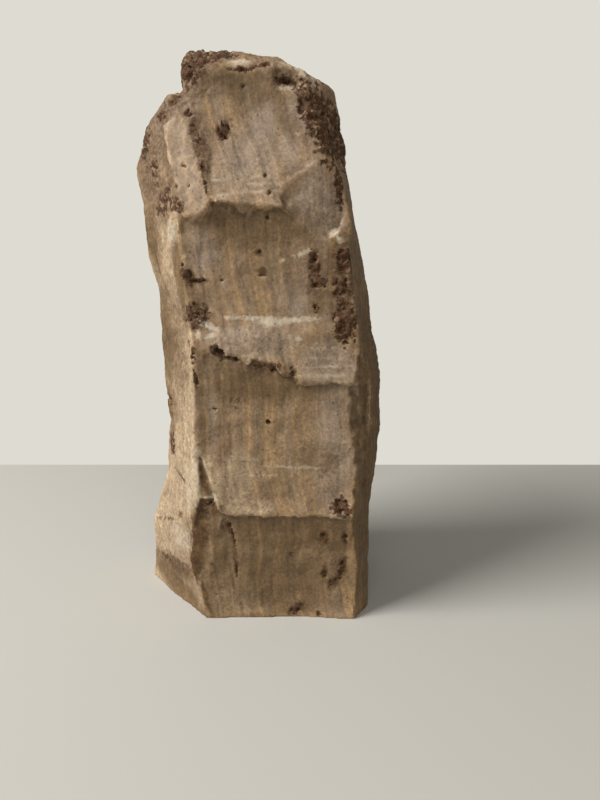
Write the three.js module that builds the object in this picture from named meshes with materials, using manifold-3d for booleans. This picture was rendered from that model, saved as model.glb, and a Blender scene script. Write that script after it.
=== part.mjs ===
// A rough block of soapstone, hewn by hand: one solid, in millimetres, +Z up, standing on its flat foot.
// The front faces -Y. The origin is the middle of the block's box, on the ground.
//
// The block starts as a column that runs through seven upright corner lines. Its crown is broken off
// and curved scars are split from its sides, as a pitching tool does. What is left is roughened, most
// of all where the weathered skin of the boulder remains.
import * as THREE from "three";
import { mergeVertices } from "three/addons/utils/BufferGeometryUtils.js";
import { TessellateModifier } from "three/addons/modifiers/TessellateModifier.js";
import { ImprovedNoise } from "three/addons/math/ImprovedNoise.js";
import Module from "manifold-3d";

const COLUMN_HEIGHT = 248; // before the crown is broken off
const FRONT = -48; // the plane that the front scars are split from
const POINTS_PER_SIDE = 3; // around the column, between two corner lines
const ROWS = 16; // up the column
const SCAR_DETAIL = 5; // splits along each edge of a scar's icosahedron
const LONGEST_EDGE = 9; // of the finished surface
const MOST_SPLITS = 14; // of one edge, to get there
const THINNEST = 1.2; // a facet slimmer than this is closed up
const LEAST_KEPT = 0.3; // how much a facet may turn as its neighbour is closed up, as a cosine
const CLEANING_PASSES = 12;
const SAME_POINT = 1e-3; // points closer than this are one
const WAVES = [{ size: 34, height: 1.6 }, { size: 13, height: 0.7 }]; // of the split faces
const SKIN_WAVES = { size: 9, height: 1.8 }; // of the weathered skin
const FOOT_BLEND = 6; // the height over which the waves set in, above the flat foot

// Upright corner lines of the column, from the foot up, each point as [height, x, y].
const CORNER_LINES = {
  frontLeft: [[0, -15, FRONT], [28, -19, FRONT], [48, -22, FRONT], [105, -20, FRONT], [146, -22, FRONT],
    [168, -24, FRONT], [196, -25, FRONT + 3], [248, -20, FRONT + 11]],
  frontRight: [[0, 40, FRONT], [28, 41, FRONT], [103, 43, FRONT], [134, 40, FRONT], [176, 37, FRONT],
    [200, 28, FRONT + 4], [248, 20, FRONT + 11]],
  rightShoulder: [[0, 51, -29], [54, 52, -26], [77, 54, -26], [103, 55, -24], [112, 54, -24],
    [126, 50, -26], [150, 47, -26], [166, 42, -28], [197, 37, -27], [248, 30, -22]],
  backRight: [[0, 47, 24], [50, 53, 26], [100, 55, 24], [150, 50, 22], [200, 40, 20], [248, 33, 16]],
  back: [[0, 6, 42], [60, 8, 42], [130, 5, 41], [190, 2, 36], [248, -2, 30]],
  backLeft: [[0, -50, 34], [40, -46, 35], [90, -38, 34], [150, -38, 31], [190, -43, 26], [248, -33, 20]],
  leftShoulder: [[0, -56, 2], [10, -56, 2], [30, -52, -2], [52, -45, -7], [74, -41.5, -12],
    [125, -41.5, -12], [142, -41, -12], [161, -45.5, -12], [184, -50, -11], [201, -47, -14], [248, -40, -12]],
};

// What is broken off along planes: everything past the point, on the sides that they all face.
const BREAKS = {
  crown: { at: [-13, -24, 233.2], facing: [[0.13, 0.1, 1]] },
  crownCorner: { at: [-24, -28, 233], facing: [[-0.7, -0.1, 0.7]] },
  crownBrow: { at: [0, -31, 231.5], facing: [[0, -0.75, 0.7]] },
  crownStep: { at: [-26, -33, 217], facing: [[-1, -0.15, 0.05], [-0.06, -0.2, 1]] },
  rightBrow: { at: [20, -24, 227.5], facing: [[0.5, -0.1, 1]] },
  rightChamfer: { at: [26, -40, 205], facing: [[0.78, -0.6, 0.3]] },
  leftBrow: { at: [-45.5, -14, 202], facing: [[-0.86, -0.3, 0.46]] },
  leftFacet: { at: [-24, -41, 190], facing: [[-0.42, -0.9, 0.12]] },
  rearCrown: { at: [0, 22, 226], facing: [[0.1, 0.7, 0.6]] },
};

// Scars: hollows of an ellipsoid. at is the middle of the mouth, and radii are half the width, the
// depth and half the height. turn swings the scar round the block from the front, roll tips it
// clockwise, lean lays it back, and hook moves its deepest part up, under the edge that it leaves.
const SCARS = {
  leftNick: { at: [-43, -15, 87], radii: [9, 7.5, 10], turn: -60, roll: 25 },
  crownPanel: { at: [2, -44.5, 206], radii: [50, 5.5, 34], lean: 7 },
  rightBite: { at: [35, -45.5, 176], radii: [25, 5.5, 18.5], turn: 16, lean: 6 },
  upperHollow: { at: [-1, FRONT, 144.5], radii: [64, 6.5, 28.8], hook: 0.22 },
  middlePanel: { at: [2, FRONT, 122], radii: [80, 3.6, 17], roll: 2 },
  rightFacet: { at: [37, FRONT, 117], radii: [26, 4.6, 15.5], turn: 6 },
  lowerLeft: { at: [-18, FRONT, 92], radii: [34, 6.2, 29], hook: 0.22 },
  lowerHollow: { at: [10, FRONT, 73], radii: [92, 6.5, 34.5], roll: 2.5, hook: 0.22 },
  footHollow: { at: [10, FRONT, 10], radii: [110, 8, 41], hook: 0.1 },
  cornerChip: { at: [-20.5, -46.5, 63], radii: [8, 3.5, 23], turn: -28, roll: -8 },
  crownChip: { at: [17, -41, 223], radii: [12, 6, 6], turn: 12, roll: 12 },
  crownHollow: { at: [8, 4, 243], radii: [27, 14, 22], lean: 88 },
  rightHigh: { at: [54.7, 10, 178], radii: [54, 14, 48], turn: 90, lean: 14, roll: -8 },
  rightMiddle: { at: [64, 12, 106], radii: [54, 14, 52], turn: 90, roll: 7 },
  rightLow: { at: [62, 12, 30], radii: [54, 14, 54], turn: 88, lean: -4, roll: -5 },
  rearRight: { at: [30.6, 40.3, 151], radii: [42, 14, 64], turn: 159, lean: 5, roll: 8 },
  rearRightLow: { at: [33.6, 43.3, 46], radii: [46, 14, 60], turn: 160, roll: -10 },
  rearLeft: { at: [-18.6, 46.5, 122], radii: [44, 14, 66], turn: 189, lean: 3, roll: 6 },
  rearLeftLow: { at: [-23.6, 48, 24], radii: [50, 14, 48], turn: 189, roll: 12 },
  leftHigh: { at: [-54, 20, 182], radii: [46, 14, 54], turn: 266, lean: -11, roll: 6 },
  leftMiddle: { at: [-51, 22, 96], radii: [48, 14, 62], turn: 266, lean: 6, roll: -7 },
  leftLow: { at: [-60, 24, 20], radii: [46, 14, 42], turn: 262, lean: 5 },
};

// Where weathered skin is left: a middle, and how far it reaches along each axis.
const SKIN = [
  { at: [0, -20, 236], reach: [40, 60, 13] },
  { at: [34, -30, 208], reach: [13, 30, 26] },
  { at: [-42, -20, 192], reach: [14, 22, 28] },
  { at: [-21, -40, 198], reach: [5.5, 12, 18] },
  { at: [37, -42, 140], reach: [6, 12, 19] },
  { at: [-23, -46, 130], reach: [6, 10, 9] },
  { at: [0, -46, 112], reach: [26, 8, 7] },
  { at: [38, -44, 52], reach: [7, 10, 8] },
  { at: [-19, -44, 42], reach: [6, 10, 16] },
  { at: [6, 42, 190], reach: [30, 18, 50] },
  { at: [50, 24, 120], reach: [14, 16, 70] },
  { at: [-44, 32, 60], reach: [16, 16, 60] },
];

const noise = new ImprovedNoise();

// Smooth noise from -1 to 1 that changes over about the given size.
function waver(p, size, seed) {
  return noise.noise(p.x / size + seed, p.y / size - seed, p.z / size + 2 * seed);
}

// The point of a corner line at a height.
function cornerAt(line, z) {
  const above = line.findIndex(([height], k) => k > 0 && z <= height);
  const top = above > 0 ? above : line.length - 1;
  const [z0, x0, y0] = line[top - 1];
  const [z1, x1, y1] = line[top];
  const share = (z - z0) / (z1 - z0);
  return new THREE.Vector3(x0 + (x1 - x0) * share, y0 + (y1 - y0) * share, z);
}

// The column: a cylinder whose rim is drawn out to the corner lines, row by row.
function columnGeometry() {
  const lines = Object.values(CORNER_LINES);
  const sides = lines.length;
  const column = new THREE.CylinderGeometry(1, 1, 1, sides * POINTS_PER_SIDE, ROWS);
  const position = column.getAttribute("position");
  for (let i = 0; i < position.count; i += 1) {
    const [right, up, front] = [position.getX(i), position.getY(i), position.getZ(i)];
    const z = (up + 0.5) * COLUMN_HEIGHT;
    const corners = lines.map((line) => cornerAt(line, z));
    const middle = new THREE.Vector3();
    corners.forEach((corner) => middle.addScaledVector(corner, 1 / sides));
    const turn = (Math.atan2(right, front) / (2 * Math.PI) + 1) * sides;
    const side = Math.floor(turn + 1e-6);
    const next = corners[(side + 1) % sides];
    const rim = corners[side % sides].clone().lerp(next, Math.max(0, turn - side));
    const point = middle.lerp(rim, Math.min(1, Math.hypot(right, front)));
    position.setXYZ(i, point.x, point.y, point.z);
  }
  return column;
}

// A slab that covers everything past a plane through a point.
function slabGeometry(at, facing) {
  const size = 300;
  const slab = new THREE.BoxGeometry(size, size, size).translate(0, 0, size / 2);
  const up = new THREE.Vector3(0, 0, 1);
  const away = new THREE.Vector3(...facing).normalize();
  slab.applyQuaternion(new THREE.Quaternion().setFromUnitVectors(up, away));
  return slab.translate(...at);
}

// A scar's ellipsoid, in place.
function scarGeometry({ at, radii, turn = 0, roll = 0, lean = 0, hook = 0 }) {
  const scar = new THREE.IcosahedronGeometry(1, SCAR_DETAIL);
  const hooked = new THREE.Matrix4().makeShear(0, 0, 0, hook, 0, 0);
  scar.applyMatrix4(hooked).scale(...radii);
  scar.rotateX(-THREE.MathUtils.degToRad(lean));
  scar.rotateY(THREE.MathUtils.degToRad(roll));
  scar.rotateZ(THREE.MathUtils.degToRad(turn));
  return scar.translate(...at);
}

// A geometry as lists of points and of facets, where a facet is three point numbers.
function listsOf(geometry) {
  const bare = new THREE.BufferGeometry().copy(geometry).deleteAttribute("normal");
  const merged = mergeVertices(bare, SAME_POINT);
  const position = merged.getAttribute("position");
  const corners = merged.index.array;
  const points = [];
  for (let i = 0; i < position.count; i += 1) {
    points.push(new THREE.Vector3().fromBufferAttribute(position, i));
  }
  const facets = [];
  for (let i = 0; i < corners.length; i += 3) facets.push([...corners.slice(i, i + 3)]);
  return { points, facets: facets.filter((facet) => new Set(facet).size === 3) };
}

// A facet as a triangle.
function triangleOf(points, facet) {
  return new THREE.Triangle(...facet.map((i) => points[i]));
}

// How well facets keep facing their way when they change: 1 is unchanged, below 0 is turned over.
function leastKept(points, before, after) {
  const shares = before.map((facet, k) => {
    const old = triangleOf(points, facet);
    if (old.getArea() < THINNEST * THINNEST / 8) return 1;
    const facing = old.getNormal(new THREE.Vector3());
    return facing.dot(triangleOf(points, after[k]).getNormal(new THREE.Vector3()));
  });
  return Math.min(...shares);
}

// Closes up the slim facets that the cuts leave: a short edge goes, or else the longest edge is
// swapped for the other diagonal. One pass changes only facets that don't touch each other.
function closeSlivers({ points, facets }) {
  const around = points.map(() => new Set());
  facets.forEach((facet) => facet.forEach((i) => around[i].add(facet)));
  const ring = (i) => new Set([...around[i]].flat().filter((j) => j !== i));
  const gone = new Set();
  const busy = new Set();
  const claim = (used) => {
    const free = !used.some((i) => busy.has(i));
    if (free) used.forEach((i) => busy.add(i));
    return free;
  };
  const lengthOf = ([a, b]) => points[a].distanceTo(points[b]);

  // Moves one end of an edge onto the other, whichever way changes the facets around it least.
  const closeEdge = (ends) => {
    const ways = [ends, [...ends].reverse()].map(([from, to]) => {
      const moved = [...around[from]].filter((facet) => !facet.includes(to));
      const after = moved.map((facet) => facet.map((i) => (i === from ? to : i)));
      const liftsFoot = points[from].z === 0 && points[to].z > 0;
      return { from, to, moved, kept: liftsFoot ? -1 : leastKept(points, moved, after) };
    });
    const { from, to, moved, kept } = ways[0].kept > ways[1].kept ? ways[0] : ways[1];
    if (kept < LEAST_KEPT || !claim([...ring(from), ...ring(to)])) return;
    [...around[from]].filter((facet) => facet.includes(to)).forEach((facet) => gone.add(facet));
    moved.forEach((facet) => facet.splice(facet.indexOf(from), 1, to));
  };

  // Swaps the edge that a facet shares with its neighbour for the other diagonal of the two.
  const swapEdge = (facet, [start, end, tip]) => {
    const twin = [...around[start]].find((other) => other !== facet && other.includes(end));
    const across = twin.find((i) => i !== start && i !== end);
    const halves = [[start, across, tip], [across, end, tip]];
    if (ring(tip).has(across) || leastKept(points, [twin, twin], halves) < LEAST_KEPT) return;
    if (!claim([start, end, tip, across])) return;
    facet.splice(0, 3, ...halves[0]);
    twin.splice(0, 3, ...halves[1]);
  };

  facets.forEach((facet) => {
    if (facet.some((i) => busy.has(i))) return;
    const edges = facet.map((a, k) => [a, facet[(k + 1) % 3], facet[(k + 2) % 3]]);
    const [shortest, , longest] = edges.sort((p, q) => lengthOf(p) - lengthOf(q));
    if (2 * triangleOf(points, facet).getArea() > THINNEST * lengthOf(longest)) return;
    const [a, b] = shortest;
    const shared = [...ring(a)].filter((i) => ring(b).has(i));
    if (lengthOf(shortest) < 2 * THINNEST && shared.length === 2) closeEdge([a, b]);
    else swapEdge(facet, longest);
  });
  return { points, facets: facets.filter((facet) => !gone.has(facet)) };
}

// The geometry with its slim facets closed up.
function cleaned(geometry) {
  let lists = listsOf(geometry);
  for (let pass = 0; pass < CLEANING_PASSES; pass += 1) lists = closeSlivers(lists);
  return new THREE.BufferGeometry().setFromPoints(lists.facets.flat().map((i) => lists.points[i]));
}

// How much weathered skin a zone leaves at a point, from 0 to 1.
function skinAt(p, { at, reach }) {
  const away = Math.hypot(...["x", "y", "z"].map((axis, k) => (p[axis] - at[k]) / reach[k]));
  return 1 - THREE.MathUtils.smoothstep(away, 0.7, 1.1);
}

// Moves every point off its place by waves of noise; the foot stays flat.
function roughen(position) {
  const p = new THREE.Vector3();
  for (let i = 0; i < position.count; i += 1) {
    p.fromBufferAttribute(position, i);
    const skin = Math.max(...SKIN.map((zone) => skinAt(p, zone)));
    const waves = [...WAVES, { size: SKIN_WAVES.size, height: SKIN_WAVES.height * skin }];
    const shift = new THREE.Vector3();
    waves.forEach(({ size, height }, k) => {
      const [x, y, z] = [3.1, 7.7, 5.3].map((seed) => waver(p, size, seed + k) * height);
      shift.add(new THREE.Vector3(x, y, z));
    });
    const free = THREE.MathUtils.smoothstep(p.z, 0, FOOT_BLEND);
    position.setXYZ(i, p.x + shift.x, p.y + shift.y, p.z + shift.z * free);
  }
}

const wasm = await Module();
wasm.setup();

// A closed geometry as a manifold-3d solid.
function solidOf(geometry) {
  const bare = new THREE.BufferGeometry().setAttribute("position", geometry.getAttribute("position"));
  if (geometry.index) bare.setIndex(geometry.index);
  const merged = mergeVertices(bare, SAME_POINT);
  return new wasm.Manifold(new wasm.Mesh({
    numProp: 3,
    vertProperties: merged.getAttribute("position").array,
    triVerts: new Uint32Array(merged.index.array),
  }));
}

let stone = solidOf(columnGeometry());
Object.values(BREAKS).forEach(({ at, facing }) => {
  const slabs = facing.map((way) => solidOf(slabGeometry(at, way)));
  stone = stone.subtract(slabs.reduce((one, other) => one.intersect(other)));
});
Object.values(SCARS).forEach((scar) => {
  stone = stone.subtract(solidOf(scarGeometry(scar)));
});

// A flake that comes loose falls away: the block is the largest body that is left.
stone = stone.decompose().sort((a, b) => b.volume() - a.volume())[0];

const cut = stone.getMesh();
const hewn = new THREE.BufferGeometry();
hewn.setAttribute("position", new THREE.BufferAttribute(new Float32Array(cut.vertProperties), 3));
hewn.setIndex(new THREE.BufferAttribute(new Uint32Array(cut.triVerts), 1));

const split = new TessellateModifier(LONGEST_EDGE, MOST_SPLITS).modify(cleaned(hewn));
const surface = mergeVertices(cleaned(split), SAME_POINT);
roughen(surface.getAttribute("position"));
surface.computeVertexNormals();
surface.computeBoundingBox();
const middle = surface.boundingBox.getCenter(new THREE.Vector3());
surface.translate(-middle.x, -middle.y, -surface.boundingBox.min.z);

const block = new THREE.Mesh(surface, new THREE.MeshStandardMaterial({ color: 0xa8875f, roughness: 0.85 }));
block.name = "stone_block";
const part = new THREE.Group();
part.add(block);

export default part;
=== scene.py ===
"""The looks of the soapstone block: a hand-hewn stone with split faces, ledges and weathered skin."""

import math
from collections import namedtuple

import bpy
import numpy as np
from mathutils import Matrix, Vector
from mathutils.noise import fractal


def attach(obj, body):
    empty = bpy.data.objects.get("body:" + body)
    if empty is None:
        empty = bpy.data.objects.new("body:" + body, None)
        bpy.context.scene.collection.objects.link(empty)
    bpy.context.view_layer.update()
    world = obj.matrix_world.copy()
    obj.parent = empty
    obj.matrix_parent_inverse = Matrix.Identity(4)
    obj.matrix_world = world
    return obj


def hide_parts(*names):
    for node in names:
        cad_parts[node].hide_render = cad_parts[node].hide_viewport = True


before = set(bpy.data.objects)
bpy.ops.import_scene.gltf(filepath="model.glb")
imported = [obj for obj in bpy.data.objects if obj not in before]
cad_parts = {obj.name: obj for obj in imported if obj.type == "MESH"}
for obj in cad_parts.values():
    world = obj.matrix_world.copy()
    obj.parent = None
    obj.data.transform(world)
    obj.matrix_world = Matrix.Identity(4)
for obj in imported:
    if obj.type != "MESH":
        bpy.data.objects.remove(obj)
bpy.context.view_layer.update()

MM = 0.001

# ---------------------------------------------------------------- camera, floor and light

CAMERA_PLACE = (19.5, -279.4, 144.8)  # in millimetres
CAMERA_PITCH = 11.0  # degrees down
FOCAL_PIXELS = 601.0  # the focal length, in pixels of a picture 800 pixels high
PICTURE_HEIGHT = 800.0
SENSOR_WIDTH = 36.0  # in millimetres
NEAREST = 0.01  # the nearest thing that the camera sees, in metres, as are the next four
LOOK_AT = (0.0, 0.0, 0.12)  # the middle of the stone, where the lights point
TABLE_WIDTH = 2.4
TABLE_DEPTH = 1.6
TABLE_BACK = 0.19  # from the middle of the stone to the table's far edge
TABLE_TOP = (0.50, 0.48, 0.43, 1.0)
TABLE_ROUGHNESS = 0.9
BACKDROP = (0.73, 0.715, 0.645, 1.0)
ROOM = (1.0, 0.98, 0.93, 1.0)
ROOM_LIGHT = 0.22


def make_camera():
    data = bpy.data.cameras.new("camera")
    data.sensor_width = SENSOR_WIDTH
    data.lens = FOCAL_PIXELS * data.sensor_width / PICTURE_HEIGHT
    data.clip_start = NEAREST
    camera = bpy.data.objects.new("camera", data)
    camera.location = Vector(CAMERA_PLACE) * MM
    camera.rotation_euler = (math.radians(90.0 - CAMERA_PITCH), 0.0, 0.0)
    bpy.context.scene.collection.objects.link(camera)
    bpy.context.scene.camera = camera


def make_floor():
    """A pale table top, whose far edge lies a little behind the stone."""
    bpy.ops.mesh.primitive_plane_add(size=1.0)
    floor = bpy.context.object
    floor.name = "table_top"
    bpy.ops.object.mode_set(mode="EDIT")
    bpy.ops.mesh.select_all(action="SELECT")
    bpy.ops.transform.resize(value=(TABLE_WIDTH, TABLE_DEPTH, 1.0), center_override=(0.0, 0.0, 0.0))
    bpy.ops.transform.translate(value=(0.0, TABLE_BACK - TABLE_DEPTH / 2, 0.0))
    bpy.ops.object.mode_set(mode="OBJECT")
    material = bpy.data.materials.new("pale_table")
    material.use_nodes = True
    shader = material.node_tree.nodes["Principled BSDF"]
    shader.inputs["Base Color"].default_value = TABLE_TOP
    shader.inputs["Roughness"].default_value = TABLE_ROUGHNESS
    floor.data.materials.append(material)


def make_light(name, place, size, power):
    """A square soft box that looks at the middle of the stone: place and size in metres, power in watts."""
    data = bpy.data.lights.new(name, "AREA")
    data.size = size
    data.energy = power
    light = bpy.data.objects.new(name, data)
    light.location = place
    towards = Vector(LOOK_AT) - Vector(place)
    light.rotation_euler = towards.to_track_quat("-Z", "Y").to_euler()
    bpy.context.scene.collection.objects.link(light)


def make_world():
    """A pale backdrop for the camera, and a dimmer soft light all round for the stone."""
    world = bpy.data.worlds.new("pale_room")
    world.use_nodes = True
    tree = world.node_tree
    backdrop = tree.nodes["Background"]
    backdrop.inputs["Color"].default_value = BACKDROP
    room = tree.nodes.new("ShaderNodeBackground")
    room.inputs["Color"].default_value = ROOM
    room.inputs["Strength"].default_value = ROOM_LIGHT
    seen = tree.nodes.new("ShaderNodeLightPath")
    mix = tree.nodes.new("ShaderNodeMixShader")
    tree.links.new(seen.outputs["Is Camera Ray"], mix.inputs[0])
    tree.links.new(room.outputs[0], mix.inputs[1])
    tree.links.new(backdrop.outputs[0], mix.inputs[2])
    tree.links.new(mix.outputs[0], tree.nodes["World Output"].inputs["Surface"])
    bpy.context.scene.world = world
    bpy.context.scene.view_settings.view_transform = "Standard"


# ---------------------------------------------------------------- marks on the faces

# A mark lies on a side of the stone: across is along X on the front, back and top, and along Y on the left
# and right; up is along Z, and along Y on the top. wide and tall are half its size, and tilt turns it
# anticlockwise as it is seen from its side, in degrees. All lengths are in millimetres. full is the amount
# in its middle.
Mark = namedtuple("Mark", "side across up wide tall tilt full", defaults=[0, 1.0])

# The way each side faces, the way to its right and the way up it.
SIDES = {
    "front": ((0, -1, 0), (1, 0, 0), (0, 0, 1)),
    "back": ((0, 1, 0), (-1, 0, 0), (0, 0, 1)),
    "left": ((-1, 0, 0), (0, -1, 0), (0, 0, 1)),
    "right": ((1, 0, 0), (0, 1, 0), (0, 0, 1)),
    "top": ((0, 0, 1), (1, 0, 0), (0, 1, 0)),
}

CRUST = [
    Mark("front", -22, 223.5, 4.2, 5.5, -10),  # left corner of the crown
    Mark("front", -17, 228.5, 5, 2.4, 20),
    Mark("front", -9.5, 230, 4, 1.2),
    Mark("left", -31, 225, 4, 5),
    Mark("left", -23, 228, 10, 6),
    Mark("top", -21, -22, 7, 10),
    Mark("top", -9, -26, 5, 2.4, 0, 0.9),
    Mark("front", -2.5, 224, 4.8, 1.2),  # dark crust and painted shadow under the pale slab
    Mark("front", 6, 225.5, 2.6, 1.4, 15),
    Mark("front", 14.2, 219.9, 4.0, 1.7, -5),  # pit under the crown
    Mark("front", 22.4, 211, 3.4, 9, 17),  # right chamfer
    Mark("front", 28.5, 205, 5.5, 15, 16),
    Mark("front", 30.0, 196.5, 3.8, 5, 10),
    Mark("right", -26, 203, 5, 12),
    Mark("front", 34.5, 181, 1.5, 7, 3),
    Mark("front", -22.6, 207.5, 2.2, 1.3),  # beside the left facet
    Mark("front", -21.4, 203.4, 0.8, 0.8, 0, 0.8),
    Mark("front", -19.2, 198, 1.1, 1.6, 0, 0.8),
    Mark("front", -18.8, 192.6, 0.7, 0.9, 0, 0.8),
    Mark("front", -17.2, 187.8, 0.9, 1.3),
    Mark("front", -16.0, 180.5, 0.6, 3.4, 6, 0.9),
    Mark("front", -9.3, 201.2, 2.1, 3.0, -14),  # pit in the top face
    Mark("front", -29.2, 213.8, 3.6, 2.0, 20),  # brow over the left facet
    Mark("front", -35.2, 209.5, 2.0, 2.6, 0, 0.9),
    Mark("left", -17, 203, 5, 4.5),  # left flank
    Mark("left", -16, 198, 2.5, 3),
    Mark("left", -25, 189, 2.2, 4.5),
    Mark("left", -32, 174, 6, 2.4),
    Mark("front", -27.8, 174.4, 3.2, 2.2, -32),
    Mark("left", -31, 177, 5, 4),
    Mark("front", -25.3, 148.5, 1.8, 4.0, 20),  # second panel, at its left
    Mark("front", -21.2, 145.8, 3.4, 0.7),
    Mark("front", 24.5, 154.8, 1.6, 3.0),  # second panel, towards its right
    Mark("front", 25.4, 150.0, 1.8, 3.4, 6),
    Mark("front", 26.9, 145.4, 2.3, 2.8, 15),
    Mark("front", 25.6, 134.8, 1.1, 1.8),
    Mark("front", 36.3, 153.2, 2.8, 5.2),  # right ridge
    Mark("front", 35.9, 143.0, 3.1, 3.8),
    Mark("front", 37.2, 129.8, 3.7, 8.6),
    Mark("front", -21.8, 132.6, 4.4, 4.2, -32),  # left ridge
    Mark("front", -23.6, 118, 1.1, 4, 8, 0.8),
    Mark("front", -12.6, 117.9, 3.2, 1.9, -35),  # dark crust and painted shadow under the ragged ledge
    Mark("front", -8.4, 115.3, 3.4, 0.8, -8),
    Mark("front", 2.6, 112.4, 2.2, 0.8, -20),
    Mark("front", 9.4, 111.2, 2.6, 0.8, 38),
    Mark("front", 16.6, 109.6, 0.7, 2.6, 12),
    Mark("front", -22.6, 107, 0.9, 3.5, 6),
    Mark("front", 6.3, 89, 1.0, 1.0),  # third panel, and the foot ledge
    Mark("front", -22.4, 50.6, 1.2, 1.6, -10, 0.8),
    Mark("front", -18.6, 53.4, 2.4, 0.8, 0, 0.8),
    Mark("front", 36.9, 52.6, 3.6, 3.8),
    Mark("front", -11.2, 43.5, 1.2, 2.0, 20),  # along the crack in the foot panel
    Mark("front", 29.6, 38.4, 1.4, 1.8, 0, 0.85),  # foot panel
    Mark("front", 37.4, 23.4, 1.0, 4.2, -10, 0.85),
    Mark("front", 30.2, 21.5, 0.8, 2.6, 0, 0.85),
    Mark("front", 33.9, 16.8, 1.0, 2.6, -25, 0.85),
    Mark("front", 38.4, 38.6, 0.9, 1.8, 0, 0.85),
    Mark("front", 18, 4, 3.4, 1.1, 38, 0.85),
    Mark("front", 27.5, 1.4, 1.6, 1.2, 0, 0.85),
    Mark("left", -12, 16.5, 4.4, 1.2),  # left flank, lower down
    Mark("left", -18, 75, 3.2, 5.5),
    Mark("left", -7, 91, 2.0, 3.0),
]

# The broad patches of crust on the back, the top and the back edges.
WIDE_CRUST = [
    Mark("back", 6, 196, 26, 34, 8),
    Mark("back", -20, 90, 10, 32, -12),
    Mark("right", 22, 130, 10, 58, 6),
    Mark("left", 28, 66, 10, 46, -6),
    Mark("top", -6, 4, 14, 10, 20, 0.9),
    Mark("top", 22, 12, 9, 13, 0, 0.8),
]

MOTTLES = [
    Mark("front", -16, 228.5, 11, 4.5, 8),
    Mark("front", -4, 230.5, 7, 2.0),
    Mark("front", 5, 227.5, 6, 2.6, -8),
    Mark("front", 14, 221.5, 8, 4),
    Mark("front", -20, 219, 4, 7),
    Mark("front", 28, 205, 8, 13, 16),
    Mark("front", -19.0, 198, 4.4, 15, 13),
    Mark("front", -30, 212, 9, 3.6, 24),
    Mark("top", -12, -20, 18, 14),
    Mark("top", 2, 6, 34, 22),
    Mark("front", -9.5, 201.5, 3.5, 4.5),
    Mark("front", -25, 212, 11, 4, 28),
    Mark("left", -21, 196, 10, 20, 4),
    Mark("left", -30, 178, 8, 9),
    Mark("left", -28, 220, 9, 12),
    Mark("front", 34, 183, 3.0, 12, 0, 0.6),
    Mark("front", 25, 150, 3.0, 12, 0, 0.8),
    Mark("front", 37, 143, 4, 20, 0, 0.8),
    Mark("front", -21, 131, 7, 5, -20),
    Mark("front", -21.5, 117, 4.5, 10, 6, 0.4),
    Mark("front", 3, 112.0, 14, 2.6, -14, 0.8),
    Mark("front", -19, 51.5, 5, 4, 0, 0.7),
    Mark("front", 37, 52, 5, 5, 0, 0.7),
    Mark("front", -6, 97.5, 3, 2.4, 0, 0.8),
    Mark("left", -19, 17.5, 12, 3.8, 4),
    Mark("left", -16, 78, 5, 9, 0, 0.8),
    Mark("left", -30, 120, 6, 30, 0, 0.6),
    Mark("right", -22, 196, 9, 20),
    Mark("right", -20, 120, 8, 16),
    Mark("back", 4, 190, 30, 42, 8),
    Mark("back", -16, 84, 20, 50, -12),
    Mark("right", 20, 124, 16, 74, 6),
    Mark("left", 26, 70, 15, 58, -6),
]

PITS = [
    Mark("front", 14.2, 219.8, 3.0, 1.1, -5, 0.8),
    Mark("front", -2.5, 223.8, 4.6, 0.8),
    Mark("front", 6.3, 89, 0.9, 0.9),
    Mark("front", -15.2, 94.5, 0.7, 0.7),
    Mark("front", 7, 169.4, 0.9, 0.9),
    Mark("front", 6.3, 185, 0.7, 0.8),
    Mark("front", 7.9, 178.5, 0.8, 0.7),
    Mark("front", 4.4, 147.8, 1.6, 0.45),
    Mark("front", -2.0, 217.8, 0.6, 0.7),
    Mark("front", -24.6, 188.6, 0.9, 0.45, -20),
    Mark("front", -27.6, 180.6, 0.45, 0.9),
    Mark("front", -22.6, 181, 0.5, 0.5),
    Mark("front", 3.6, 156.7, 0.6, 0.8),
    Mark("front", -11.3, 146, 0.6, 0.6),
    Mark("front", -9.2, 39.5, 0.35, 4.4, 14),  # crack in the foot panel
    Mark("front", -8.0, 22.5, 0.6, 2.4),
    Mark("front", -13.0, 118.2, 2.4, 1.1, -35),  # hole under the ragged ledge
]

# Paler stone, and painted light: on the left face, which is turned to the light, and at the lower ends of the
# front panels, which turn up to it.
PALE_STONE_AND_PAINTED_LIGHT = [
    Mark("left", 0, 120, 60, 140),
    Mark("front", 0, 185, 13, 7, 0, 0.6),
    Mark("left", -36, 165.5, 3, 3.5),
    Mark("front", -4, 226.5, 5, 1.6),
    Mark("front", 15.5, 216.2, 5, 1.2),
    Mark("front", 22, 222, 7, 3.6, -32),
    Mark("front", 12, 226, 5, 1.6, -12),
    Mark("front", -17, 66, 3, 14, 12),
    # Painted light along the front of the left ridge.
    Mark("front", -24.4, 66, 2.2, 14),
    Mark("front", -24.4, 106, 1.8, 14, 0, 0.8),
    Mark("front", 2, 121, 16, 6),
    Mark("front", 29, 171, 8, 7, 0, 0.9),
    Mark("front", 33, 71, 7, 9),
    Mark("front", -7, 64, 8, 13, 0, 0.7),
    Mark("front", -3, 53, 11, 4),
    Mark("front", -4, 10, 14, 7, 0, 0.7),
]

BLUSHES = [
    Mark("front", 26, 175, 10, 12),  # right bite
    Mark("front", -18, 157, 6, 9),
    Mark("front", -1, 122, 16, 7),
    Mark("front", 31, 112, 12, 9),
    Mark("front", 19, 142, 6, 16, 0, 0.8),
    Mark("front", 16, 199, 3.5, 15),
    Mark("front", 6, 206, 5, 11),
    Mark("front", -20.5, 217, 4, 6),
    Mark("front", 0, 193, 13, 12, 0, 0.75),
    Mark("front", 34, 78, 9, 28, 0, 0.8),
    Mark("front", 38, 96, 7, 10, 0, 0.8),
    Mark("front", -19, 92, 5, 18, 0, 0.8),
    Mark("left", -22, 30, 10, 12, 0, 0.5),
]

# Painted shade, partly also the stone's darker tone: under the pale slab and the overhangs of the ledges, on
# the upper left flank, along the left ridge, on the right side and under the foot, where the stone turns from
# the light.
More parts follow.
